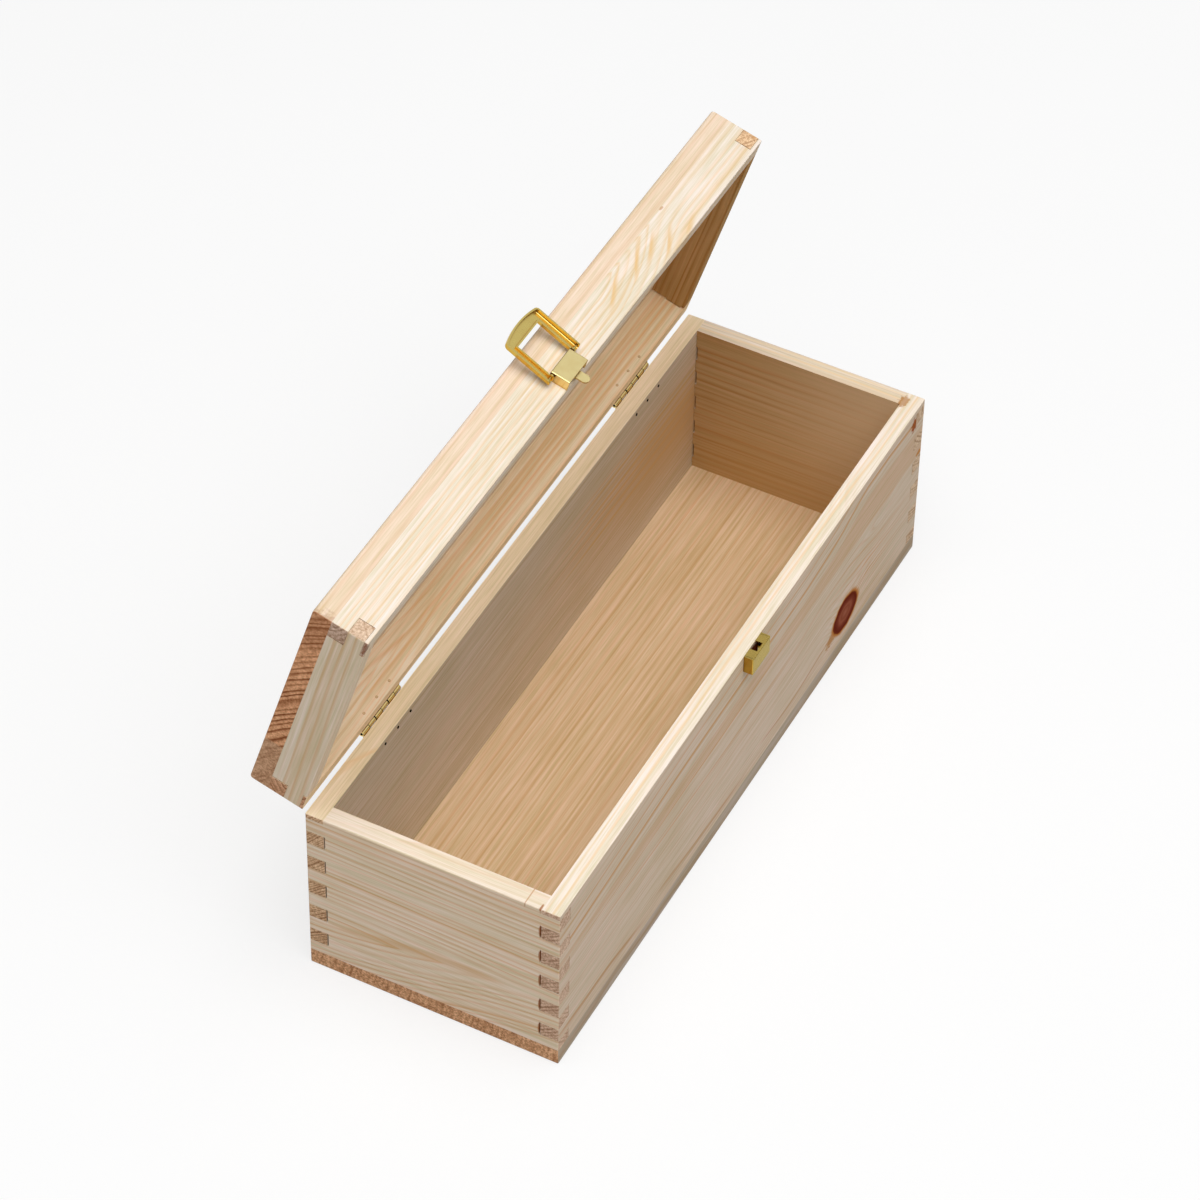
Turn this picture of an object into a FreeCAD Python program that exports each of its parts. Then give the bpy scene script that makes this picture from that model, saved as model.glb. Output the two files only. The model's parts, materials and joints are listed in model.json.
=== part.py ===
import FreeCAD, Part
import os

from FreeCAD import Vector

# Wooden box with a hinged lid and a bail clasp, in millimetres and degrees.
# X runs along the box, the front is at -Y, the hinges are at +Y, and Z is up from the underside.
# The lid stands open and the clasp's bail is thrown back.

# Boards
inner_length = 310.0
inner_width = 95.0
wall = 8.0
bottom_board = 8.0
top_board = 8.3
body_height = 87.0
lid_height = 24.1
lid_gap = 0.3            # between the two rims when the lid is shut
lid_open_angle = 73.6    # from shut
edge_round = 0.6
rim_round = 0.3
lid_top_round = 1.5

# Finger joints
finger_height = 7.12
first_finger = 5.55      # of the body, next to the bottom board
thinnest_finger = 0.3    # a thinner remainder joins the finger before it
finger_gap = 0.12        # glue line between two fingers
end_slot_overcut = 0.6   # the slots are sawn this much deeper than the fingers reach
long_slot_overcut = 0.25

# Hinges
hinge_length = 30.0
left_hinge_inset = 61.2  # from the end of the box to the hinge's middle
right_hinge_inset = 51.5
knuckles_per_leaf = 3
hinge_sheet = 0.6
leaf_width = 4.0         # from the hinge axis to the leaf's free edge
leaf_corner = 0.8
barrel_radius = 1.25
barrel_stand = 0.15      # between the barrel and the wood
knuckle_gap = 0.5
lid_knuckle_shift = -0.2  # play along the pin, taken up to one side
pin_fit = 0.05
pin_end_round = 0.3

# Nails of the hinges, driven right through the wall
nail_radius = 0.6
nail_head_radius = 1.0
nail_head_height = 0.5
nail_tip_out = 0.25
nail_fit = 0.03

# Clasp plate, on the lid, and keeper, on the box
clasp_x = 0.0
clasp_sheet = 0.7
clasp_width = 15.5
fold_round = 0.5         # outer radius of a fold in the sheet
plate_height = 8.6
plate_out = 4.7          # how far the plate stands out from the wood
tongue_width = 4.3
tongue_drop = 5.2        # below the lid's rim
tongue_shoulder = 2.0    # above the lid's rim, where the tongue widens
tongue_tip_round = 2.0
tongue_side_clear = 0.45
tongue_front_clear = 0.3
keeper_height = 8.5
keeper_slot_margin = 0.3
keeper_lip = 1.8
keeper_seam = 0.15       # between the upper end and the cheeks
foot_width = 3.9
foot_margin = 1.2

# Nails of the clasp, hidden in its hollows
clasp_nail_radius = 0.5
clasp_nail_head_radius = 0.9
clasp_nail_head_height = 0.4
clasp_nail_cover = 1.5   # wood left beyond the nail's tip

# Bail of the clasp and its pin
clasp_pin_radius = 0.4
clasp_pin_room = 0.1     # between the pin and the sheet folded round it
clasp_pin_end_gap = 0.3  # to the bail's outer flange, which keeps the pin in
bail_side_clear = 0.65
bail_arm = 4.24
bail_bar = 4.1
bail_bulge = 1.9
bail_corner = 2.0
bail_fold_round = 1.2    # outer radius of the fold between web and outer flange
bail_tail = 1.2          # of the arms, past the pin's axis
bail_tail_round = 1.0
bail_web_drop = 0.65     # from the pin's axis to the web
bail_outer_flange = 1.2  # past the pin's axis
bail_inner_flange = 0.25
bail_ear_radius = 1.05
bail_hook_clear = 1.0
bail_rest_tilt = 14.0    # away from the lid's front

# Sizes that follow from those above
length = inner_length + 2 * wall
width = inner_width + 2 * wall
front = -width / 2
back = width / 2
lid_rim = body_height + lid_gap
lid_top = lid_rim + lid_height
along_x = Vector(1, 0, 0)
along_y = Vector(0, 1, 0)

left_hinge_x = -length / 2 + left_hinge_inset
right_hinge_x = length / 2 - right_hinge_inset
hinge_y = back + barrel_stand + barrel_radius
hinge_z = body_height + lid_gap / 2
knuckle_length = hinge_length / (2 * knuckles_per_leaf)
hinge_pin_radius = barrel_radius - hinge_sheet - pin_fit
notch_reach = barrel_radius + barrel_stand
nail_reach = (notch_reach + leaf_width) / 2

clasp_half = clasp_width / 2
pivot_out = plate_out - clasp_sheet - clasp_pin_room - clasp_pin_radius
pivot_z = lid_rim + plate_height - clasp_sheet - clasp_pin_room - clasp_pin_radius
tongue_out = pivot_out - clasp_pin_radius - clasp_pin_room
slot_depth = tongue_out + tongue_front_clear
keeper_out = slot_depth + keeper_slot_margin + clasp_sheet
keeper_low = body_height - keeper_height
foot_nail_x = clasp_half - (clasp_sheet + foot_width) / 2
window_half = clasp_half + bail_side_clear
window_far = pivot_z - keeper_low + bail_hook_clear
bail_half = window_half + bail_arm
bail_far = window_far + bail_bar


def box(x0, x1, y0, y1, z0, z1):
    """Block between two corners."""
    return Part.makeBox(x1 - x0, y1 - y0, z1 - z0, Vector(x0, y0, z0))


def upright(x0, x1, y0, y1, z_a, z_b):
    """Block whose two heights come in either order."""
    return box(x0, x1, y0, y1, min(z_a, z_b), max(z_a, z_b))


def rod_x(radius, x0, x1, y, z):
    """Round bar along X."""
    return Part.makeCylinder(radius, x1 - x0, Vector(x0, y, z), along_x)


def rod_y(radius, x, y0, y1, z):
    """Round bar along Y."""
    return Part.makeCylinder(radius, y1 - y0, Vector(x, y0, z), along_y)


def on_front(x0, x1, out0, out1, z0, z1):
    """Block beside the clasp's middle, from out0 to out1 away from the front's wood."""
    return box(clasp_x + x0, clasp_x + x1, front - out1, front - out0, z0, z1)


def edges_along(shape, direction, test):
    """Straight edges along a direction whose middle passes a test."""
    found = []
    for edge in shape.Edges:
        straight = edge.Curve.TypeId == "Part::GeomLine"
        if straight and abs(edge.tangentAt(edge.FirstParameter).dot(direction)) > 0.99:
            if test(edge.CenterOfMass):
                found.append(edge)
    return found


def near(a, b):
    return abs(a - b) < 0.001


def save(name, shape):
    shape.exportStep(os.path.join("parts", name + ".step"))
    print(name, len(shape.Solids), shape.isValid(), round(shape.Volume, 2))


def save_lid(name, shape):
    """Turns a piece of the shut lid to where the lid stands open, and saves it."""
    turned = shape.copy()
    turned.rotate(Vector(0, hinge_y, hinge_z), -along_x, lid_open_angle)
    save(name, turned)


def eased_block(low, high, low_round, high_round):
    """Outer form of the body or the lid, with its edges eased."""
    block = box(-length / 2, length / 2, front, back, low, high)
    block = block.makeFillet(low_round, edges_along(block, along_x, lambda c: near(c.z, low)))
    block = block.makeFillet(high_round, edges_along(block, along_x, lambda c: near(c.z, high)))
    ends = [face for face in block.Faces if near(abs(face.CenterOfMass.x), length / 2)]
    return block.makeFillet(edge_round, [edge for face in ends for edge in face.Edges])


def finger_bands(start, end, first):
    """Heights of the fingers from a board's face to the rim, as (low, high) in turn."""
    way = 1 if end > start else -1
    bands = []
    edge = start
    height = first
    while abs(end - edge) > thinnest_finger:
        following = edge + way * height
        if abs(end - edge) < height + thinnest_finger:
            following = end
        bands.append((min(edge, following), max(edge, following)))
        edge = following
        height = finger_height
    return bands


def widened(band, low, high):
    """A slot's heights: the finger's, with half a glue line wherever another finger follows."""
    bottom, top = band
    if bottom > low:
        bottom -= finger_gap / 2
    if top < high:
        top += finger_gap / 2
    return bottom, top


def four_walls(low, high, end_bands, long_bands, envelope):
    """Front, back, left and right walls that lock together by their fingers."""
    half = length / 2
    long_depth = wall + long_slot_overcut
    in_long = []
    for band in end_bands:
        z0, z1 = widened(band, low, high)
        in_long.append(box(-half, -half + long_depth, front, back, z0, z1))
        in_long.append(box(half - long_depth, half, front, back, z0, z1))
    in_ends = []
    for band in long_bands:
        z0, z1 = widened(band, low, high)
        at_box_rim = near(z1, body_height)
        end_depth = wall if at_box_rim else wall + end_slot_overcut
        in_ends.append(box(-half, half, front, front + end_depth, z0, z1))
        in_ends.append(box(-half, half, back - end_depth, back, z0, z1))
    boards = {
        "front": box(-half, half, front, front + wall, low, high).cut(in_long),
        "back": box(-half, half, back - wall, back, low, high).cut(in_long),
        "left": box(-half, -half + wall, front, back, low, high).cut(in_ends),
        "right": box(half - wall, half, front, back, low, high).cut(in_ends),
    }
    return {side: board.common(envelope) for side, board in boards.items()}


def nail(x, z, seat, reach, radius, head_radius, head_height):
    """Nail along Y with its head on the face at y = seat, and its shank reaching on by reach."""
    into = along_y if reach > 0 else -along_y
    shank = Part.makeCylinder(radius, abs(reach), Vector(x, seat, z), into)
    head = Part.makeCylinder(head_radius, head_height, Vector(x, seat, z), -into)
    crown = seat - head_height if reach > 0 else seat + head_height
    rim = [edge for edge in head.Edges if near(edge.CenterOfMass.y, crown)]
    return shank.fuse(head.makeFillet(head_height / 2, rim))


def hinge_nail_places(up):
    """(x, z) of every hinge nail in the box (up is -1) or the lid (up is 1)."""
    places = []
    for hinge_x in (left_hinge_x, right_hinge_x):
        left = hinge_x - hinge_length / 2
        for turn in range(knuckles_per_leaf):
            places.append((left + (2 * turn + 0.5) * knuckle_length, hinge_z + up * nail_reach))
    return places


def hinge_nails(up):
    """The hinge nails of the box or the lid, as one group."""
    reach = -(hinge_sheet + wall + nail_tip_out)
    seat = back + hinge_sheet
    return Part.makeCompound([nail(x, z, seat, reach, nail_radius, nail_head_radius, nail_head_height)
                              for x, z in hinge_nail_places(up)])


def with_hinge_holes(shape, up):
    """A back board or a leaf with its nail holes."""
    radius = nail_radius + nail_fit
    holes = [rod_y(radius, x, back - 2 * wall, back + wall, z) for x, z in hinge_nail_places(up)]
    return shape.cut(holes)


def hinge_leaf(hinge_x, up):
    """Leaf on the back with its rolled knuckles, for the box (up is -1) or the lid (up is 1)."""
    left = hinge_x - hinge_length / 2
    right = left + hinge_length
    edge = hinge_z + up * leaf_width
    notch = hinge_z + up * notch_reach
    leaf = upright(left, right, back, back + hinge_sheet, hinge_z, edge)
    corners = edges_along(leaf, along_y, lambda c: near(c.z, edge))
    leaf = leaf.makeFillet(leaf_corner, corners)
    own_turn = 0 if up < 0 else 1
    shift = 0 if up < 0 else lid_knuckle_shift
    half_gap = knuckle_gap / 2
    barrels = []
    notches = []
    for knuckle in range(2 * knuckles_per_leaf):
        x0 = left + knuckle * knuckle_length + shift
        x1 = x0 + knuckle_length
        if knuckle % 2 == own_turn:
            barrels.append(rod_x(barrel_radius, x0 + half_gap, x1 - half_gap, hinge_y, hinge_z))
        else:
            notches.append(upright(x0 - half_gap, x1 + half_gap, back, back + hinge_sheet, hinge_z, notch))
    leaf = leaf.cut(notches).fuse(barrels)
    leaf = leaf.cut(rod_x(hinge_pin_radius + pin_fit, left, right, hinge_y, hinge_z))
    return with_hinge_holes(leaf, up)


def hinge_pin(hinge_x):
    """Pin through both leaves' knuckles, with eased ends."""
    pin = rod_x(hinge_pin_radius, hinge_x - hinge_length / 2, hinge_x + hinge_length / 2, hinge_y, hinge_z)
    rims = [edge for edge in pin.Edges if near(abs(edge.CenterOfMass.x - hinge_x), hinge_length / 2)]
    return pin.makeFillet(pin_end_round, rims)


def clasp_cover(out, low, high):
    """Folded cover on the front: face, sides, closed upper end, and a foot turned in from each side."""
    cover = on_front(-clasp_half, clasp_half, 0, out, low, high)
    face = front - out
    folds = edges_along(cover, Vector(0, 0, 1), lambda c: near(c.y, face))
    folds += edges_along(cover, along_x, lambda c: near(c.y, face) and near(c.z, high))
    cover = cover.makeFillet(fold_round, folds)
    inside = clasp_half - clasp_sheet
    cover = cover.cut(on_front(-inside, inside, 0, out - clasp_sheet, low, high - clasp_sheet))
    foot = clasp_half - foot_width
    feet = [on_front(side * (inside + foot) / 2 - (inside - foot) / 2,
                     side * (inside + foot) / 2 + (inside - foot) / 2,
                     0, clasp_sheet, low + foot_margin, high - foot_margin) for side in (-1, 1)]
    holes = [rod_y(clasp_nail_radius + nail_fit, clasp_x + side * foot_nail_x, front - clasp_sheet, front,
                   (low + high) / 2) for side in (-1, 1)]
    return cover.fuse(feet).cut(holes)


def clasp_nails(z):
    """The two nails through a cover's feet, as one group."""
    reach = clasp_sheet + wall - clasp_nail_cover
    return Part.makeCompound([
        nail(clasp_x + side * foot_nail_x, z, front - clasp_sheet, reach,
             clasp_nail_radius, clasp_nail_head_radius, clasp_nail_head_height) for side in (-1, 1)])


def with_clasp_holes(board, z):
    """A front board with the holes of a cover's nails."""
    end = front + wall - clasp_nail_cover
    radius = clasp_nail_radius + nail_fit
    return board.cut([rod_y(radius, clasp_x + side * foot_nail_x, front, end, z) for side in (-1, 1)])


def clasp_plate():
    """Cover on the lid, its sheet folded back inside round the pin and out again as the tongue."""
    high = lid_rim + plate_height
    inside = clasp_half - clasp_sheet
    under = tongue_out - clasp_sheet
    half = tongue_width / 2
    layer = on_front(-inside, inside, under, tongue_out, lid_rim + tongue_shoulder, high - clasp_sheet)
    tongue = on_front(-half, half, under, tongue_out, lid_rim - tongue_drop, lid_rim + tongue_shoulder)
    tips = edges_along(tongue, along_y, lambda c: near(c.z, lid_rim - tongue_drop))
    tongue = tongue.makeFillet(tongue_tip_round, tips)
    plate = clasp_cover(plate_out, lid_rim, high).fuse([layer, tongue]).removeSplitter()
    return plate.cut(pivot_rods(clasp_pin_radius + pin_fit, inside, clasp_half))


def pivot_rods(radius, x0, x1):
    """Round bars about the bail's axis between two distances from the clasp's middle, on both sides."""
    y = front - pivot_out
    return [rod_x(radius, clasp_x - x1, clasp_x - x0, y, pivot_z),
            rod_x(radius, clasp_x + x0, clasp_x + x1, y, pivot_z)]


def clasp_pin():
    """Pin across the plate and the bail's ears."""
    end = bail_half - clasp_sheet - clasp_pin_end_gap
    return rod_x(clasp_pin_radius, clasp_x - end, clasp_x + end, front - pivot_out, pivot_z)


def keeper():
    """Cover on the box with a slot for the tongue and a turned-in lip that the bail hooks under."""
    cover = clasp_cover(keeper_out, keeper_low, body_height)
    slot_half = tongue_width / 2 + tongue_side_clear
    slot = on_front(-slot_half, slot_half, 0, slot_depth, body_height - clasp_sheet, body_height)
    inside = clasp_half - clasp_sheet
    lip = on_front(-inside, inside, keeper_out - keeper_lip, keeper_out - clasp_sheet,
                   keeper_low, keeper_low + clasp_sheet)
    flap = inside - keeper_seam
    seams = [on_front(x0, x1, 0, keeper_out - clasp_sheet, body_height - clasp_sheet, body_height)
             for x0, x1 in ((-inside, -flap), (flap, inside))]
    return cover.cut([slot] + seams).fuse(lip).removeSplitter()


def bail_block(inset, low, high, fold):
    """Block of the bail's outline, drawn in by inset, between two distances out from the pin's axis."""
    half = bail_half - inset
    far = pivot_z + bail_far - inset
    near_end = pivot_z - bail_tail
    y = front - pivot_out - low

    def point(x, z):
        return Vector(clasp_x + x, y, z)

    sides = [
        Part.makeLine(point(-half, near_end), point(-half, far)),
        Part.Arc(point(-half, far), point(0, far + bail_bulge), point(half, far)).toShape(),
        Part.makeLine(point(half, far), point(half, near_end)),
        Part.makeLine(point(half, near_end), point(-half, near_end)),
    ]
    block = Part.Face(Part.Wire(sides)).extrude(Vector(0, low - high, 0))
    corners = edges_along(block, along_y, lambda c: near(c.z, far))
    block = block.makeFillet(bail_corner - inset, corners)
    folds = []
    for edge in block.Edges:
        if all(near(vertex.Y, y) for vertex in edge.Vertexes) and not near(edge.CenterOfMass.z, near_end):
            folds.append(edge)
    return block.makeFillet(fold, folds)


def clasp_bail():
    """Pressed frame: web, outer flange, and inner flanges with the ears that turn on the pin."""
    web_low = -bail_web_drop - clasp_sheet
    outside = bail_block(0, web_low, bail_outer_flange, bail_fold_round)
    z_near = pivot_z - bail_tail
    y_high = front - pivot_out - bail_outer_flange
    tails = edges_along(outside, along_x, lambda c: near(c.z, z_near) and near(c.y, y_high))
    outside = outside.makeFillet(bail_tail_round, tails)
    inside = bail_block(clasp_sheet, -bail_web_drop, bail_outer_flange, bail_fold_round - clasp_sheet)
    z_far = pivot_z + window_far
    ear = window_half + clasp_sheet
    flange = on_front(-ear, ear, pivot_out + web_low, pivot_out + bail_inner_flange,
                      z_near, z_far + clasp_sheet)
    window = on_front(-window_half, window_half, pivot_out + web_low, pivot_out + bail_outer_flange,
                      z_near, z_far)
    frame = outside.cut(inside).fuse(flange).cut(window)
    frame = frame.fuse(pivot_rods(bail_ear_radius, window_half, ear)).removeSplitter()
    frame = frame.cut(pivot_rods(clasp_pin_radius + pin_fit, window_half, ear))
    frame.rotate(Vector(0, front - pivot_out, pivot_z), along_x, bail_rest_tilt)
    return frame


os.makedirs("parts", exist_ok=True)

# Box
body_form = eased_block(0, body_height, edge_round, rim_round)
body_bands = finger_bands(bottom_board, body_height, first_finger)
body = four_walls(bottom_board, body_height, body_bands[0::2], body_bands[1::2], body_form)
keeper_nail_z = (keeper_low + body_height) / 2
save("bottom_board", box(-length / 2, length / 2, front, back, 0, bottom_board).common(body_form))
save("front_wall", with_clasp_holes(body["front"], keeper_nail_z))
save("back_wall", with_hinge_holes(body["back"], -1))
save("left_end_wall", body["left"])
save("right_end_wall", body["right"])
save("left_hinge_box_leaf", hinge_leaf(left_hinge_x, -1))
save("right_hinge_box_leaf", hinge_leaf(right_hinge_x, -1))
save("left_hinge_pin", hinge_pin(left_hinge_x))
save("right_hinge_pin", hinge_pin(right_hinge_x))
save("box_hinge_nails", hinge_nails(-1))
save("keeper", keeper())
save("keeper_nails", clasp_nails(keeper_nail_z))

# Lid, modelled shut and then opened
lid_form = eased_block(lid_rim, lid_top, rim_round, lid_top_round)
lid_seam = lid_top - top_board
lid_bands = finger_bands(lid_seam, lid_rim, finger_height)
lid = four_walls(lid_rim, lid_seam, lid_bands[1::2], lid_bands[0::2], lid_form)
plate_nail_z = lid_rim + plate_height / 2
save_lid("lid_top_board", box(-length / 2, length / 2, front, back, lid_seam, lid_top).common(lid_form))
save_lid("lid_front_rail", with_clasp_holes(lid["front"], plate_nail_z))
save_lid("lid_back_rail", with_hinge_holes(lid["back"], 1))
save_lid("lid_left_rail", lid["left"])
save_lid("lid_right_rail", lid["right"])
save_lid("left_hinge_lid_leaf", hinge_leaf(left_hinge_x, 1))
save_lid("right_hinge_lid_leaf", hinge_leaf(right_hinge_x, 1))
save_lid("lid_hinge_nails", hinge_nails(1))
save_lid("clasp_plate", clasp_plate())
save_lid("clasp_pin", clasp_pin())
save_lid("clasp_nails", clasp_nails(plate_nail_z))
save_lid("clasp_bail", clasp_bail())
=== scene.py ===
import json
import math

import bpy
from mathutils import Matrix, Vector


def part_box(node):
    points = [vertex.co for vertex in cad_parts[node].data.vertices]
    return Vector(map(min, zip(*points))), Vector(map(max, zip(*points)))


# Pale softwood box with finger joints, its lid open, brass-plated hinges and clasp.
# The frame's nodes keep their shape. This script gives them wood, brass and steel.

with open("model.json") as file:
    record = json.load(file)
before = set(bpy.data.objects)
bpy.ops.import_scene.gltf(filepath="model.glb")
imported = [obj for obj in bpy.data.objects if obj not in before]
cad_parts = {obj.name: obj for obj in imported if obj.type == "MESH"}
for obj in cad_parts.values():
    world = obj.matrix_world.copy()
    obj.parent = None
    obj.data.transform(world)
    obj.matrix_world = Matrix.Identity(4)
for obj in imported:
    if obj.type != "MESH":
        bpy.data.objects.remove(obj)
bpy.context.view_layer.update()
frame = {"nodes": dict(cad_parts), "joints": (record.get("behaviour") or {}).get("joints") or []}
nodes = frame["nodes"]
scene = bpy.context.scene

MM = 0.001

# Places on the box in mm, read from the frame
lid_hinge = next(joint for joint in frame["joints"] if joint["name"] == "lid_hinge")
HINGE = Vector(lid_hinge["pos_m"]) / MM
LID_ANGLE = math.radians(-lid_hinge["range_deg"][0])     # from shut to the pose at rest
wall_low, wall_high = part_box("front_wall")
LEFT = round(wall_low.x / MM, 3)
RIGHT = round(wall_high.x / MM, 3)
FRONT = round(wall_low.y / MM, 3)
BACK = round(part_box("back_wall")[1].y / MM, 3)
RIM = round(wall_high.z / MM, 3)


class Graph:
    """Short names for building one node tree."""

    def __init__(self, tree):
        self.tree = tree
        tree.nodes.clear()

    def put(self, socket, value):
        """Links a socket to another, or sets its number or colour."""
        if isinstance(value, bpy.types.NodeSocket):
            self.tree.links.new(value, socket)
        elif socket.type == "RGBA" and len(value) == 3:
            socket.default_value = (*value, 1)
        else:
            socket.default_value = value

    def node(self, kind, inputs=None, **settings):
        """New node with its settings, and its inputs set or linked by name or number."""
        node = self.tree.nodes.new(kind)
        for key, value in settings.items():
            setattr(node, key, value)
        for key, value in (inputs or {}).items():
            self.put(node.inputs[key], value)
        return node

    def math(self, operation, a, b=0.0):
        return self.node("ShaderNodeMath", {0: a, 1: b}, operation=operation).outputs[0]

    def vector(self, operation, a, b=(0, 0, 0)):
        node = self.node("ShaderNodeVectorMath", {0: a, 1: b}, operation=operation)
        return node.outputs["Value" if operation in ("LENGTH", "DOT_PRODUCT") else "Vector"]

    def scaled(self, a, factor):
        return self.node("ShaderNodeVectorMath", {0: a, "Scale": factor}, operation="SCALE").outputs["Vector"]

    def combine(self, x, y, z):
        return self.node("ShaderNodeCombineXYZ", {0: x, 1: y, 2: z}).outputs[0]

    def separate(self, a):
        return self.node("ShaderNodeSeparateXYZ", {0: a}).outputs

    def noise(self, where, scale=1.0, detail=2.0, roughness=0.5):
        """Outputs of a noise texture, first its value and then its colour."""
        return self.node("ShaderNodeTexNoise", {"Vector": where, "Scale": scale, "Detail": detail,
                                                "Roughness": roughness}).outputs

    def noise_along(self, where):
        """Value of a smooth noise along one line."""
        inputs = {"W": where, "Scale": 1.0, "Detail": 1.0}
        return self.node("ShaderNodeTexNoise", inputs, noise_dimensions="1D").outputs[0]

    def step(self, value, low, high, to_low=0.0, to_high=1.0):
        """Smooth step of value from low to high."""
        node = self.node("ShaderNodeMapRange", {"Value": value, "From Min": low, "From Max": high,
                                                "To Min": to_low, "To Max": to_high},
                         interpolation_type="SMOOTHSTEP")
        return node.outputs[0]

    def mix(self, factor, a, b, blend="MIX"):
        """Mix of two colours, whose sockets are the node's inputs 6 and 7 and its output 2."""
        node = self.node("ShaderNodeMix", data_type="RGBA", blend_type=blend)
        self.put(node.inputs[0], factor)
        self.put(node.inputs[6], a)
        self.put(node.inputs[7], b)
        return node.outputs[2]

    def ramp(self, value, stops, interpolation="LINEAR"):
        """Value from 0 to 1 through a ramp of (place, level) or (place, colour) stops."""
        node = self.node("ShaderNodeValToRGB", {0: value})
        ramp = node.color_ramp
        ramp.interpolation = interpolation
        while len(ramp.elements) < len(stops):
            ramp.elements.new(0.5)
        for element, (place, level) in zip(ramp.elements, stops):
            element.position = place
            element.color = (*level, 1) if isinstance(level, tuple) else (level, level, level, 1)
        return node.outputs[0]

    def path(self, along, points):
        """Height of a smooth line through (place along, height) points."""
        first, last = points[0][0], points[-1][0]
        low = min(height for _, height in points)
        least_rise = 1e-6
        rise = max(height for _, height in points) - low + least_rise
        inputs = {"Value": along, "From Min": first, "From Max": last}
        share = self.node("ShaderNodeMapRange", inputs).outputs[0]
        stops = [((place - first) / (last - first), (height - low) / rise) for place, height in points]
        return self.math("ADD", self.math("MULTIPLY", self.ramp(share, stops, "CARDINAL"), rise), low)

    def shown_ray(self):
        """One for rays from the camera and for what gloss and glass show, nought for light on surfaces."""
        ray = self.node("ShaderNodeLightPath").outputs
        shown = self.math("MAXIMUM", ray["Is Camera Ray"], ray["Is Glossy Ray"])
        return self.math("MAXIMUM", shown, ray["Is Transmission Ray"])


def new_material(name):
    """An empty node material and the graph to build it with."""
    material = bpy.data.materials.new(name)
    material.use_nodes = True
    return material, Graph(material.node_tree)


def dress(name, material):
    """Gives a CAD node its material."""
    mesh = nodes[name].data
    mesh.materials.clear()
    mesh.materials.append(material)


# Camera, solved on the box's corners in the photograph
CAMERA_PLACE = (-1.237837, -0.610628, 1.48183)
CAMERA_FORWARD = (0.627746, 0.316143, -0.711329)
CAMERA_ROLL = math.radians(1.2438)
CAMERA_LENS = 146.762


def add_camera():
    data = bpy.data.cameras.new("camera")
    data.lens = CAMERA_LENS
    data.sensor_width = 36
    data.clip_start = 0.05
    data.clip_end = 60
    camera = bpy.data.objects.new("camera", data)
    scene.collection.objects.link(camera)
    forward = Vector(CAMERA_FORWARD).normalized()
    level = forward.cross(Vector((0, 0, 1))).normalized()
    above = level.cross(forward)
    right = level * math.cos(CAMERA_ROLL) + above * math.sin(CAMERA_ROLL)
    up = right.cross(forward)
    turn = Matrix((right, up, -forward)).transposed().to_4x4()
    camera.matrix_world = Matrix.Translation(CAMERA_PLACE) @ turn
    scene.camera = camera


# Floor, world and lamp
FLOOR_HALF = 4.0
FLOOR_Z = -0.0002       # just under the box
FLOOR_PLAIN = 0.72      # the share of plain white in the floor that shows; the rest takes the shadow
SKY_LIGHT = 0.24        # the world's strength on surfaces
SKY_SHOWN = 0.66        # what is added to it overhead where it shows


def add_floor():
    mesh = bpy.data.meshes.new("floor")
    corners = [(x * FLOOR_HALF, y * FLOOR_HALF, FLOOR_Z) for x, y in ((-1, -1), (1, -1), (1, 1), (-1, 1))]
    mesh.from_pydata(corners, [], [(0, 1, 2, 3)])
    floor = bpy.data.objects.new("floor", mesh)
    scene.collection.objects.link(floor)
    material, g = new_material("floor")
    where = g.node("ShaderNodeTexCoord").outputs["Object"]
    mottle = g.step(g.noise(where, 3.0, 3.0)[0], 0.3, 0.7)
    white = g.mix(mottle, (0.94, 0.94, 0.94), (0.96, 0.96, 0.96))
    grey = g.mix(mottle, (0.55, 0.55, 0.55), (0.58, 0.58, 0.58))
    shown = g.shown_ray()
    lit = g.node("ShaderNodeBsdfDiffuse", {"Color": g.mix(shown, grey, white)})
    plain = g.node("ShaderNodeEmission", {"Color": (1, 1, 1), "Strength": 1.0})
    surface = g.node("ShaderNodeMixShader", {0: g.math("MULTIPLY", shown, FLOOR_PLAIN),
                                             1: lit.outputs[0], 2: plain.outputs[0]})
    g.node("ShaderNodeOutputMaterial", {"Surface": surface.outputs[0]})
    mesh.materials.append(material)


def add_light():
    world = bpy.data.worlds.new("world")
    world.use_nodes = True
    scene.world = world
    g = Graph(world.node_tree)
    height = g.separate(g.node("ShaderNodeTexCoord").outputs["Generated"])[2]
    shown = g.math("MULTIPLY", g.shown_ray(), g.step(height, 0.1, 0.6, 0.0, SKY_SHOWN))
    strength = g.math("ADD", shown, SKY_LIGHT)
    background = g.node("ShaderNodeBackground", {"Color": (1, 1, 1), "Strength": strength})
    g.node("ShaderNodeOutputWorld", {"Surface": background.outputs[0]})
    data = bpy.data.lights.new("overhead", "AREA")
    data.size = 2.4
    data.energy = 50
    lamp = bpy.data.objects.new("overhead", data)
    scene.collection.objects.link(lamp)
    lamp.location = (-0.36, -0.5, 2.1)
    lamp.rotation_euler = (-lamp.location).to_track_quat("-Z", "Y").to_euler()
    scene.view_settings.view_transform = "Standard"


# Wood
HONEY = (0.90, 0.64, 0.35)
RESIN = (0.55, 0.26, 0.09)
TAR = (0.50, 0.24, 0.08)
SEPIA = (0.24, 0.07, 0.025)
# painted highlight for the rims' upper faces
RIM_HIGHLIGHT = (0.93, 0.83, 0.69)
KNOT = (93, FRONT, 22)          # the front wall's knot
SLITS = 6                       # dark slits beside the front wall's finger ends, on the left face
SLIT_Z, SLIT_STEP = 17.2, 14.22
BEYOND = 190                    # past both ends of the box, for lines that don't fade on it


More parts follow.
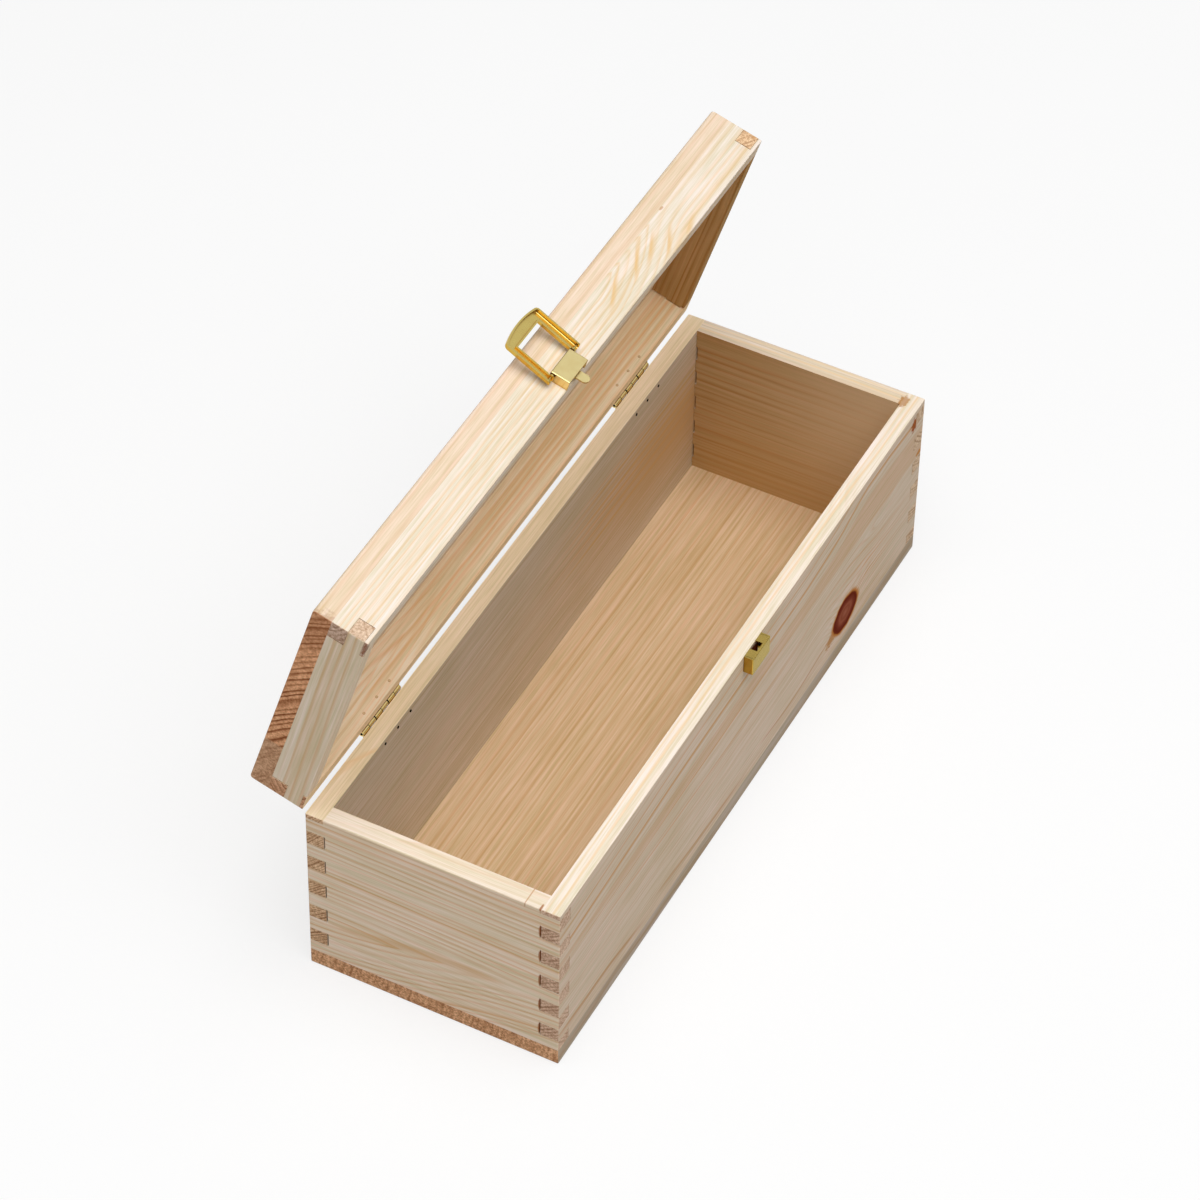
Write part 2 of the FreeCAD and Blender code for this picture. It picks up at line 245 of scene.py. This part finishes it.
class Pine:
    """Softwood of one board, painted in layers: rings, streaks, end grain, knots and stains.

    Lengths are mm in the frame, with the lid shut. The grain runs along X or Y. early and late are the
    colours of a ring's pale and dark wood, and warp is how far the rings drift.
    """

    def __init__(self, node, early, late, grain="X", seed=0.0, warp=2.5, in_lid=False):
        self.node, self.early, self.late, self.seed = node, early, late, seed
        self.material, self.g = new_material("pine_" + node)
        g = self.g
        self.place, normal = self.shut_place(in_lid)
        x, y, self.z = g.separate(self.place)
        self.along, self.across = (x, y) if grain == "X" else (y, x)
        facing = g.separate(normal)
        self.end = g.step(g.math("ABSOLUTE", facing["XYZ".index(grain)]), 0.6, 0.85)
        self.top = g.step(facing[2], 0.6, 0.9)
        # the trunk is not straight: its rings drift slowly and waver a little
        half = (0.5, 0.5, 0.5)
        slow = g.scaled(g.vector("SUBTRACT", self.grain_noise(210, 60, 0.0)[1], half), 2 * warp)
        quick = g.scaled(g.vector("SUBTRACT", self.grain_noise(40, 9, 5.0)[1], half), 0.9)
        self.drift = g.separate(g.vector("ADD", slow, quick))
        self.level = g.math("ADD", self.z, self.drift[1])
        self.fine = self.grain_noise(18, 0.55, 9.0)[0]

    def shut_place(self, in_lid):
        """Place and normal in mm in the frame, with the lid's pieces turned shut."""
        g = self.g
        coord = g.node("ShaderNodeTexCoord").outputs
        place, normal = g.scaled(coord["Object"], 1 / MM), coord["Normal"]
        if in_lid:
            turn = Matrix.Rotation(LID_ANGLE, 3, "X")
            place = g.node("ShaderNodeMapping", {"Vector": place, "Location": HINGE - turn @ HINGE,
                                                 "Rotation": (LID_ANGLE, 0, 0)}).outputs[0]
            normal = g.node("ShaderNodeMapping", {"Vector": normal, "Rotation": (LID_ANGLE, 0, 0)},
                            vector_type="NORMAL").outputs[0]
        return place, normal

    def grain_noise(self, length, width, shift):
        """Noise that is long along the grain and narrow across it. shift takes another part of it."""
        g = self.g
        where = g.vector("DIVIDE", g.combine(self.along, self.across, self.z), (length, width, width))
        return g.noise(g.vector("ADD", where, (self.seed, shift, 1.7 * self.seed)), 1.0, 2.0, 0.55)

    def flow(self, low, high, low_z, high_z):
        """Lets the layers follow two guide lines, the low one up to low_z and the high one from high_z."""
        g = self.g
        share = g.step(self.z, low_z, high_z)
        shift = g.math("ADD", g.math("MULTIPLY", g.path(self.along, high), share),
                       g.math("MULTIPLY", g.path(self.along, low), g.math("SUBTRACT", 1.0, share)))
        self.level = g.math("SUBTRACT", self.level, shift)

    def layers(self, width, tilt):
        """Rings so wide that they are layers, tilted through the board's thickness."""
        g = self.g
        depth = g.math("ADD", self.level, g.math("MULTIPLY", self.across, tilt))
        self.count(g.math("MULTIPLY", depth, 1 / width))

    def rings(self, width, pith, bend=(-200, 200, 0, 0), pointed=0.0):
        """Rings round a pith line at (across, z), which moves by bend[2:] from bend[0] to bend[1] along.

        Where the line leaves the board the rings make flames, which may be round or pointed.
        """
        g = self.g
        bent = g.step(self.along, bend[0], bend[1])
        sideways = g.math("ADD", g.math("SUBTRACT", self.across, pith[0]), self.drift[0])
        sideways = g.math("SUBTRACT", sideways, g.math("MULTIPLY", bent, bend[2]))
        upward = g.math("SUBTRACT", self.level, pith[1])
        upward = g.math("SUBTRACT", upward, g.math("MULTIPLY", bent, bend[3]))
        radius = g.vector("LENGTH", g.combine(0.0, sideways, upward))
        if pointed:
            reach = g.math("ADD", g.math("ABSOLUTE", sideways), g.math("ABSOLUTE", upward))
            radius = g.math("MULTIPLY", radius, 1 - pointed)
            radius = g.math("ADD", radius, g.math("MULTIPLY", reach, pointed))
        self.count(g.math("MULTIPLY", radius, 1 / width))

    def count(self, years):
        """Keeps the count of years, with rings of uneven width."""
        g = self.g
        uneven = g.noise_along(g.math("ADD", g.math("MULTIPLY", years, 0.35), self.seed))
        self.years = g.math("ADD", years, g.math("MULTIPLY", uneven, 2.0))

    def away(self, centre, radii, ragged=None):
        """Distance from a place, in shares of the radii, with an uneven edge where ragged is given."""
        g = self.g
        away = g.vector("LENGTH", g.vector("DIVIDE", g.vector("SUBTRACT", self.place, centre), radii))
        return g.math("ADD", away, ragged) if ragged else away

    def near(self, centre, radii):
        """One at a place, falling to nought around it."""
        g = self.g
        away = self.away(centre, radii)
        return g.math("EXPONENT", g.math("MULTIPLY", g.math("MULTIPLY", away, away), -1.0))

    def swirl(self, centre, radii, turns):
        """Turns the rings aside round a knot."""
        turned = self.g.math("MULTIPLY", self.near(centre, radii), turns)
        self.years = self.g.math("ADD", self.years, turned)

    def glow(self, centre, radii, colour, amount):
        """Slow change of colour around a place."""
        self.lay(self.g.math("MULTIPLY", self.near(centre, radii), amount), colour)

    def bring_out(self, centre, radii, amount):
        """Darkens the rings' lines round a knot."""
        g = self.g
        share = g.math("MULTIPLY", self.near(centre, radii), amount)
        self.lay(g.math("MULTIPLY", self.band, share), self.late)

    def paint(self, lines, blush=0.35, top_highlight=0.0, highlight_colour=RIM_HIGHLIGHT):
        """Early wood with the rings' late wood, fibres and slow changes of tone.

        The third and fourth arguments give a painted highlight on upper faces, its share and its colour,
        where it also calms the lines.
        """
        g = self.g
        within = g.math("FRACT", self.years)
        which = g.math("ADD", g.math("FLOOR", self.years), self.seed)
        which = g.node("ShaderNodeTexWhiteNoise", {"W": which}, noise_dimensions="1D").outputs["Value"]
        depth = g.node("ShaderNodeMapRange", {"Value": which, "To Min": 0.35, "To Max": 1.0}).outputs[0]
        profile = [(0.0, 0.25), (0.14, 0.0), (0.45, 0.05), (0.76, 0.75), (0.88, 1.0), (1.0, 0.25)]
        self.band = g.math("MULTIPLY", g.ramp(within, profile), depth)
        group = g.noise_along(g.math("ADD", g.math("MULTIPLY", self.years, 0.22), 3 * self.seed))
        # upper faces take a painted highlight, with calmer lines below
        base = g.mix(g.math("MULTIPLY", self.top, top_highlight), self.early, highlight_colour)
        warm = g.mix(0.3, base, self.late)
        colour = g.mix(g.step(group, 0.42, 0.68, 0.0, blush), base, warm)
        shade = lines
        if top_highlight:
            highlight_calm = 0.7 * lines
            shade = g.math("SUBTRACT", lines, g.math("MULTIPLY", self.top, highlight_calm))
        colour = g.mix(g.math("MULTIPLY", self.band, shade), colour, self.late)
        streaky = self.grain_noise(90, 1.5, 14.0)[0]
        cloud = g.noise(g.vector("ADD", self.place, (40 * self.seed, 0, 0)), 0.02)[0]
        tone = g.math("ADD", g.step(self.fine, 0.25, 0.75, -0.07, 0.07),
                      g.step(streaky, 0.28, 0.72, -0.07, 0.06))
        tone = g.math("ADD", tone, g.step(cloud, 0.3, 0.7, 0.97, 1.02))
        self.colour = g.mix(1.0, colour, g.combine(tone, tone, g.math("MULTIPLY", tone, tone)), "MULTIPLY")

    def lay(self, mask, colour):
        """Covers the wood with a colour where mask is one."""
        self.colour = self.g.mix(mask, self.colour, colour)

    def tone(self, mask, gain):
        """The same lines in another tone where mask is one."""
        self.lay(mask, self.g.mix(1.0, self.colour, gain, "MULTIPLY"))

    def tone_face(self, face, inward, gain):
        """The same lines in another tone on the outer face at this place across the board.

        inward is 1 or -1, the way from the face into the board.
        """
        self.tone(self.g.step(self.across, face + 0.5 * inward, face + 0.1 * inward), gain)

    def streak(self, points, half, amount, colour=None, fade=25):
        """Line along the grain through (along, level) points, softer below, fading at both ends.

        It leaves upper faces bare.
        """
        g = self.g
        off = g.math("DIVIDE", g.math("SUBTRACT", self.level, g.path(self.along, points)), half)
        mask = g.math("MULTIPLY", g.step(off, -1.2, 0.1), g.step(off, 0.9, 0.3))
        first, last = points[0][0], points[-1][0]
        mask = g.math("MULTIPLY", mask, g.step(self.along, first, first + fade))
        mask = g.math("MULTIPLY", mask, g.step(self.along, last, last - fade, 0.0, amount))
        mask = g.math("MULTIPLY", mask, g.math("SUBTRACT", 1.0, self.top))
        self.lay(mask, colour or self.late)

    def edge_line(self, points, half, amount):
        """Soft line on the upper edge, through (along, across) points."""
        g = self.g
        off = g.math("SUBTRACT", g.math("ADD", self.across, self.drift[2]), g.path(self.along, points))
        mask = g.step(g.math("ABSOLUTE", off), half, 0.2 * half, 0.0, amount)
        self.lay(g.math("MULTIPLY", mask, self.top), HONEY)

    def broad_band(self, low_z, high_level, amount):
        """Wide warm band from a sharp edge at low_z up to a level."""
        g = self.g
        above = g.step(g.math("ADD", self.z, self.drift[2]), low_z - 0.5, low_z + 0.5)
        below = g.step(self.level, high_level + 1.2, high_level - 1.5, 0.0, amount)
        self.lay(g.math("MULTIPLY", above, below), self.late)

    def ends(self, tint, rings=0.5, speck=1.0, until=200):
        """End grain, darker and full of pores. tint is a share of the early wood's colour.

        Past the place until, across the board, a glued-on strip is greyer and shows little of the rings.
        """
        g = self.g
        where = g.combine(self.along, self.across, self.z)
        self.pores = g.noise(g.vector("DIVIDE", where, (5.0, 0.9, 0.9)), 1.0, 3.0, 0.7)[0]
        blotch = g.noise(g.vector("DIVIDE", where, (20.0, 6.0, 4.0)), 1.0, 2.0)[0]
        share = g.step(self.across, until + 0.5, until - 0.5, 0.3 * rings, rings)
        ringed = g.math("MULTIPLY", self.band, share)
        tone = g.math("MULTIPLY", g.step(self.pores, 0.3, 0.7, 1 - 0.3 * speck, 1 + 0.22 * speck),
                      g.math("SUBTRACT", 1 + 0.3 * rings, ringed))
        tone = g.math("MULTIPLY", tone, g.step(blotch, 0.3, 0.7, 0.92, 1.08))
        tone = g.combine(tone, g.math("POWER", tone, 1.35), g.math("POWER", tone, 1.6))
        cut = tuple(a * b for a, b in zip(self.early, tint))
        grey = (0.74, 0.82, 0.9)
        greyer = tuple(a * b for a, b in zip(cut, grey))
        cut = g.mix(g.step(self.across, until - 0.5, until + 0.5), cut, greyer)
        self.lay(self.end, g.mix(1.0, cut, tone, "MULTIPLY"))

    def knot(self, centre, radii):
        """Dark heart with rings of its own and a thin orange rim."""
        g = self.g
        ragged = g.step(g.noise(self.place, 0.16, 1.0)[0], 0.2, 0.8, -0.05, 0.05)
        away = self.away(centre, radii, ragged)
        hearts = g.ramp(g.math("MULTIPLY", away, 0.8), [
            (0.0, (0.40, 0.13, 0.075)), (0.25, (0.29, 0.08, 0.042)), (0.36, (0.35, 0.10, 0.055)),
            (0.52, (0.23, 0.048, 0.026)), (0.70, (0.16, 0.024, 0.012)), (0.78, (0.20, 0.036, 0.014)),
            (0.84, (0.58, 0.22, 0.06)), (1.0, (0.66, 0.38, 0.17))])
        self.lay(g.step(away, 1.26, 1.06), hearts)

    def stain(self, centre, radii, colour, amount, rough=0.35):
        """Spot of colour with an uneven edge."""
        g = self.g
        ragged = g.step(g.noise(self.place, 0.6, 3.0)[0], 0.2, 0.8, -rough, rough)
        self.lay(g.step(self.away(centre, radii, ragged), 1.0, 0.55, 0.0, amount), colour)

    def finish(self):
        """Dull bare wood: fibres and rings in its roughness and relief, and open pores on its ends."""
        g = self.g
        smooth = g.math("MULTIPLY", self.band, 0.06)
        roughness = g.math("SUBTRACT", g.step(self.fine, 0.2, 0.8, 0.55, 0.68), smooth)
        relief = g.math("ADD", g.math("MULTIPLY", self.fine, 0.6), g.math("MULTIPLY", self.band, 0.5))
        relief = g.math("ADD", relief, g.math("MULTIPLY", g.math("MULTIPLY", self.pores, self.end), 1.5))
        bump = g.node("ShaderNodeBump", {"Height": relief, "Strength": 0.5, "Distance": 0.05 * MM})
        surface = g.node("ShaderNodeBsdfPrincipled", {"Base Color": self.colour, "Roughness": roughness,
                                                      "Specular IOR Level": 0.0, "Normal": bump.outputs[0]})
        g.node("ShaderNodeOutputMaterial", {"Surface": surface.outputs[0]})
        dress(self.node, self.material)


def front_wall():
    wood = Pine("front_wall", (0.765, 0.63, 0.49), (0.67, 0.34, 0.13), seed=1.3, warp=0.9)
    low = [(LEFT, 4), (-100, 2), (-40, 0.2), (20, 0), (45, 1), (75, 5), (95, 4.5), (120, -1), (RIGHT, -4.5)]
    high = [(LEFT, -6.5), (-80, -2), (0, 0), (55, 0.5), (85, 4), (108, 9.5), (130, 9.3), (RIGHT, 7)]
    wood.flow(low, high, 48, 60)
    wood.layers(1.9, tilt=0.6)
    wood.swirl(KNOT, (17, 14, 14), 6.0)
    # the rim takes a painted highlight
    wood.paint(lines=0.34, blush=0.25, top_highlight=1.0)
    wood.bring_out((110, FRONT, 26), (22, 9, 15), 1.0)
    wood.edge_line([(LEFT, -52.5), (-40, -51.5), (60, -51), (RIGHT, -52.5)], 0.9, 0.55)
    wood.edge_line([(LEFT, -49.5), (0, -49), (RIGHT, -50)], 0.6, 0.35)
    wood.broad_band(57, 65.5, 0.28)
    wood.streak([(-BEYOND, 72.5), (BEYOND, 72.5)], 1.5, 0.75)
    wood.streak([(-BEYOND, 80.5), (BEYOND, 80.5)], 1.1, 0.45)
    wood.streak([(-BEYOND, 57.6), (60, 57.6)], 1.0, 0.5, fade=60)
    wood.streak([(-150, 45.6), (60, 45.2)], 0.8, 0.55, fade=50)
    wood.streak([(-60, 43.6), (170, 43.8)], 0.7, 0.45, fade=40)
    wood.streak([(-170, 48.0), (-20, 47.4)], 0.7, 0.35, fade=50)
    wood.streak([(-175, 13), (-120, 12.6), (-84, 9.4)], 1.7, 0.6, RESIN)
    wood.streak([(-90, 15.8), (-50, 13.5), (5, 11.3)], 1.7, 0.5, RESIN)
    wood.streak([(10, 16.8), (45, 14), (82, 13.6)], 1.1, 0.55, RESIN, fade=12)
    wood.ends((0.84, 0.66, 0.58))
    wood.stain((79, FRONT, 17.5), (5.5, 4, 3.6), RESIN, 0.85)
    wood.knot(KNOT, (11.4, 8.6, 8.6))
    wood.stain((153, FRONT, 80.2), (3.4, 3, 4.6), (0.40, 0.11, 0.03), 0.95)
    wood.stain((161, FRONT, 58.3), (4.2, 3, 1.5), (0.62, 0.26, 0.07), 0.9)
    wood.stain((157, -48.6, RIM), (4.5, 2, 3), TAR, 0.8)
    # painted shade: the wood behind the keeper is painted dark where it shows through the keeper's slot
    wood.stain((0, FRONT, 82), (7.4, 3, 4.6), (0.16, 0.03, 0.008), 1.0, rough=0.0)
    wood.finish()


def back_wall():
    # The inner face's darker colour is painted shade; tone_face lifts the outer face back to plain pine.
    wood = Pine("back_wall", (0.65, 0.56, 0.435), (0.50, 0.31, 0.145), seed=2.1, warp=1.0)
    wood.rings(1.2, (150, 160))
    # the rim's pale top colour is a painted highlight that lifts it out of the lid's shade
    wood.paint(lines=0.5, blush=0.3, top_highlight=0.86, highlight_colour=(1.0, 0.83, 0.58))
    wood.tone_face(BACK, -1, (1.34, 1.3, 1.28))
    wood.glow((150, 48, 46), (95, 6, 26), (0.60, 0.37, 0.165), 0.85)
    for line_z, half, amount in ((68.5, 0.9, 0.4), (65, 1.2, 0.5), (60.5, 0.9, 0.4), (56.5, 1.4, 0.6),
                                 (52, 1.3, 0.55), (47, 1.2, 0.5), (41, 1.3, 0.5)):
        wood.streak([(10, line_z + 1), (BEYOND, line_z - 1)], half, amount, (0.66, 0.38, 0.14), fade=70)
    wood.edge_line([(-154, 58), (-138, 54.5), (-124, 50), (-117, 45)], 2.2, 0.45)
    wood.edge_line([(-142, 58), (-131, 53.5), (-122, 48), (-119, 45)], 1.2, 0.45)
    wood.ends((0.98, 0.70, 0.52), rings=0.8)
    wood.finish()


def left_end_wall():
    wood = Pine("left_end_wall", (0.93, 0.77, 0.60), (0.78, 0.43, 0.17), grain="Y", seed=3.7, warp=1.0)
    wood.rings(3.0, (-149, 36), bend=(-60, 60, -13, -9), pointed=0.7)
    # the rim takes a painted highlight
    wood.paint(lines=0.8, blush=0.3, top_highlight=1.0)
    wood.streak([(-40, 35), (-10, 33.8), (15, 31.5), (50, 26.5)], 3.4, 0.6, (0.74, 0.46, 0.21))
    wood.ends((0.74, 0.62, 0.57), rings=0.3, speck=0.8)
    wood.stain((-159, -40.3, RIM), (12, 0.35, 3), RESIN, 0.6, rough=0.1)
    for number in range(SLITS):
        slit = (LEFT, -46.9, SLIT_Z + SLIT_STEP * number)
        wood.stain(slit, (4, 0.7, 3.9), (0.42, 0.15, 0.05), 0.85, rough=0.1)
    wood.finish()


def right_end_wall():
    # The inner face's dark orange colour is painted shade with orange bounce light; tone_face and the ends'
    # tint lift the outer face and the ends back to plain pine.
    wood = Pine("right_end_wall", (0.53, 0.355, 0.175), (0.43, 0.195, 0.05), grain="Y", seed=4.2, warp=1.5)
    wood.rings(2.3, (180, 90))
    # the rim takes a painted highlight
    wood.paint(lines=0.85, blush=0.4, top_highlight=0.8)
    # painted light near the front top of the inner face, painted shade near its bottom
    wood.glow((154, -52, 70), (5, 55, 70), (0.78, 0.60, 0.40), 0.75)
    wood.glow((154, 0, 8), (5, 90, 30), (0.58, 0.34, 0.13), 0.5)
    wood.tone_face(RIGHT, -1, (1.58, 1.98, 2.95))
    wood.ends((1.3, 1.37, 1.85), rings=0.5, speck=0.8)
    wood.edge_line([(-56, 157.5), (0, 158.2), (56, 157)], 0.8, 0.5)
    wood.edge_line([(-56, 160.5), (0, 161), (56, 160.2)], 0.7, 0.4)
    wood.stain((157, -48, RIM), (3.6, 2.6, 3), TAR, 0.9)
    wood.finish()


def bottom_board():
    wood = Pine("bottom_board", (0.80, 0.66, 0.51), (0.64, 0.38, 0.18), seed=5.4)
    wood.rings(3.0, (130, 30))
    wood.paint(lines=0.6)
    # painted shade: the inner floor darker and more orange
    wood.tone(wood.top, (0.94, 0.84, 0.68))
    wood.tone_face(FRONT, 1, (0.72, 0.72, 0.74))
    wood.ends((0.88, 0.58, 0.40), rings=0.35, speck=1.4)
    wood.finish()


def lid_top_board():
    wood = Pine("lid_top_board", (0.88, 0.71, 0.54), (0.74, 0.47, 0.26), seed=6.6, warp=1.5, in_lid=True)
    wood.rings(2.6, (192, -105))
    wood.paint(lines=0.7)
    wood.ends((0.74, 0.43, 0.28), rings=1.2, until=28)
    wood.stain((LEFT, -46, 107), (5, 15, 11), (0.33, 0.12, 0.05), 0.35, rough=0.3)
    wood.finish()


def lid_front_rail():
    wood = Pine("lid_front_rail", (0.88, 0.78, 0.65), (0.82, 0.53, 0.23), seed=7.9, warp=1.2, in_lid=True)
    wood.rings(2.7, (FRONT, 102.6), bend=(36, 106, 15, 0), pointed=0.6)
    wood.paint(lines=0.6, blush=0.3)
    for points in ([(36, 92), (62, 101.5)], [(56, 91), (81, 102.5)], [(68, 92), (92, 100.5)],
                   [(76, 87), (99, 96.5)], [(90, 87), (110, 91)]):
        wood.streak(points, 1.5, 0.75, fade=11)
    wood.stain((101, FRONT, 102.7), (2, 3, 0.8), RESIN, 0.6)
    wood.ends((0.72, 0.55, 0.48))
    wood.stain((LEFT, -51.5, 87.8), (4, 4.4, 1), SEPIA, 0.7, rough=0.1)
    wood.finish()


def lid_back_rail():
    # The pale colour is painted light on the rail's inner face, which lies in shade in the lid's recess.
    wood = Pine("lid_back_rail", (0.98, 0.80, 0.56), (0.88, 0.50, 0.19), seed=8.3, warp=1.2, in_lid=True)
    wood.rings(2.6, (47.5, 96.5), bend=(-130, -30, 8, 0), pointed=0.7)
    wood.paint(lines=0.6)
    for points in ([(-75, 100.2), (40, 99.2), (BEYOND, 99.8)], [(-20, 96.6), (BEYOND, 97.2)],
                   [(-105, 100), (-70, 95.5), (0, 94.2), (BEYOND, 94.6)], [(-120, 92.6), (BEYOND, 91.4)]):
        wood.streak(points, 1.2, 0.5, (0.86, 0.46, 0.16))
    wood.ends((0.60, 0.38, 0.30), rings=0.9)
    wood.finish()


def lid_left_rail():
    wood = Pine("lid_left_rail", (0.89, 0.755, 0.585), (0.74, 0.44, 0.20), grain="Y", seed=9.2, warp=0.8,
                in_lid=True)
    wood.rings(3.6, (-130, 60), bend=(-80, 80, 0, -4))
    wood.paint(lines=0.3)
    for front_z, back_z in ((100.2, 97.4), (96.4, 93.2), (92.6, 89.0)):
        wood.streak([(-80, front_z), (80, back_z)], 1.0, 0.5)
    wood.ends((0.80, 0.68, 0.62), rings=0.3, speck=0.8)
    wood.finish()


def lid_right_rail():
    # The inner face's dark brown colour is painted shade; tone_face and the ends' tint lift the outer face
    # and the ends back to plain pine.
    wood = Pine("lid_right_rail", (0.55, 0.34, 0.15), (0.41, 0.18, 0.045), grain="Y", seed=10.1, in_lid=True)
    wood.rings(2.6, (130, 40))
    wood.paint(lines=0.8)
    wood.tone_face(RIGHT, -1, (1.58, 2.1, 3.7))
    wood.ends((1.4, 1.5, 2.0), rings=0.5)
    wood.stain((162, FRONT, 90.5), (2, 2, 1.2), RESIN, 0.6)
    wood.finish()


# Brass plating and steel
LID_FACE = (0, -math.cos(LID_ANGLE), math.sin(LID_ANGLE))    # the way the lid's front faces
KEEPER_FACE = (0, -math.sqrt(0.5), math.sqrt(0.5))           # between the keeper's top and front
FOLD = 2.5                                                   # how far the painted shade in folds and corners reaches, in mm


def metal(name, flat, side, shade_and_cloud, edge, *dressed, facing=LID_FACE, satin=0.34, bright=0.16):
    """Metal, satin where it faces one way and bright on its sides, for the CAD nodes in dressed.

    Its sides take the side colour, a painted reflection. The third colour is painted shade in its folds and
    corners, also laid on in random clouds, and edge is that of its glancing gleam. satin and bright are the
    roughness of its flats and its sides.
    """
    material, g = new_material(name)
    coord = g.node("ShaderNodeTexCoord").outputs
    where = g.scaled(coord["Object"], 1 / MM)
    brushed = g.noise(g.vector("MULTIPLY", where, (3.0, 0.5, 0.5)), 1.0, 2.0)[0]
    cloudy = g.noise(where, 0.25, 2.0)[0]
    toward = g.math("ABSOLUTE", g.vector("DOT_PRODUCT", coord["Normal"], facing))
    toward = g.step(toward, 0.3, 0.6)
    # painted reflection: the sides take another colour than the flats
    tint = g.mix(toward, side, flat)
    tint = g.mix(g.step(cloudy, 0.3, 0.7, 0.0, 0.12), tint, shade_and_cloud)
    # painted shade: folds and corners darkened by ambient occlusion
    open_sky = g.node("ShaderNodeAmbientOcclusion", {"Distance": FOLD * MM}, samples=8).outputs["AO"]
    tint = g.mix(g.step(open_sky, 0.8, 0.3), tint, shade_and_cloud)
    worn = g.math("ADD", g.math("MULTIPLY", toward, satin - bright), g.step(brushed, 0.3, 0.7, -0.03, 0.04))
    worn = g.math("ADD", worn, bright)
    surface = g.node("ShaderNodeBsdfPrincipled", {"Base Color": tint, "Metallic": 1.0, "Roughness": worn,
                                                  "Specular Tint": edge})
    g.node("ShaderNodeOutputMaterial", {"Surface": surface.outputs[0]})
    for node in dressed:
        dress(node, material)


def add_metal():
    olive = (0.62, 0.52, 0.25)
    gold = (0.82, 0.62, 0.26)
    orange = (0.66, 0.42, 0.075)
    yellow = (0.60, 0.47, 0.15)
    amber = (0.44, 0.32, 0.085)
    tarnish_and_shade = (0.42, 0.20, 0.03)
    shade = (0.12, 0.06, 0.015)
    gleam = (0.85, 0.82, 0.66)
    black = (0.02, 0.016, 0.012)
    soot_and_shade = (0.010, 0.008, 0.006)
    dull = (0.2, 0.2, 0.2)
    brown = (0.80, 0.58, 0.34)
    umber = (0.62, 0.42, 0.22)
    # Each third colour is painted shade in folds and corners; the plate, keeper and bail take their side
    # colour as a painted reflection.
    metal("brass_plate", olive, gold, tarnish_and_shade, gleam, "clasp_plate")
    metal("brass_keeper", amber, orange, shade, gleam, "keeper", facing=KEEPER_FACE, satin=0.28)
    metal("brass_bail", yellow, orange, tarnish_and_shade, gleam, "clasp_bail", "clasp_pin", satin=0.24, bright=0.12)
    metal("brass_hinge", gold, gold, shade, gleam, "left_hinge_box_leaf", "right_hinge_box_leaf",
          "left_hinge_lid_leaf", "right_hinge_lid_leaf", satin=0.2)
    metal("steel_nail", black, black, soot_and_shade, dull, "box_hinge_nails", "keeper_nails",
          "clasp_nails", "left_hinge_pin", "right_hinge_pin", satin=0.5, bright=0.5)
    metal("brown_nail", brown, brown, umber, dull, "lid_hinge_nails", satin=0.6, bright=0.6)


add_camera()
add_floor()
add_light()
for board in (front_wall, back_wall, left_end_wall, right_end_wall, bottom_board, lid_top_board,
              lid_front_rail, lid_back_rail, lid_left_rail, lid_right_rail):
    board()
add_metal()
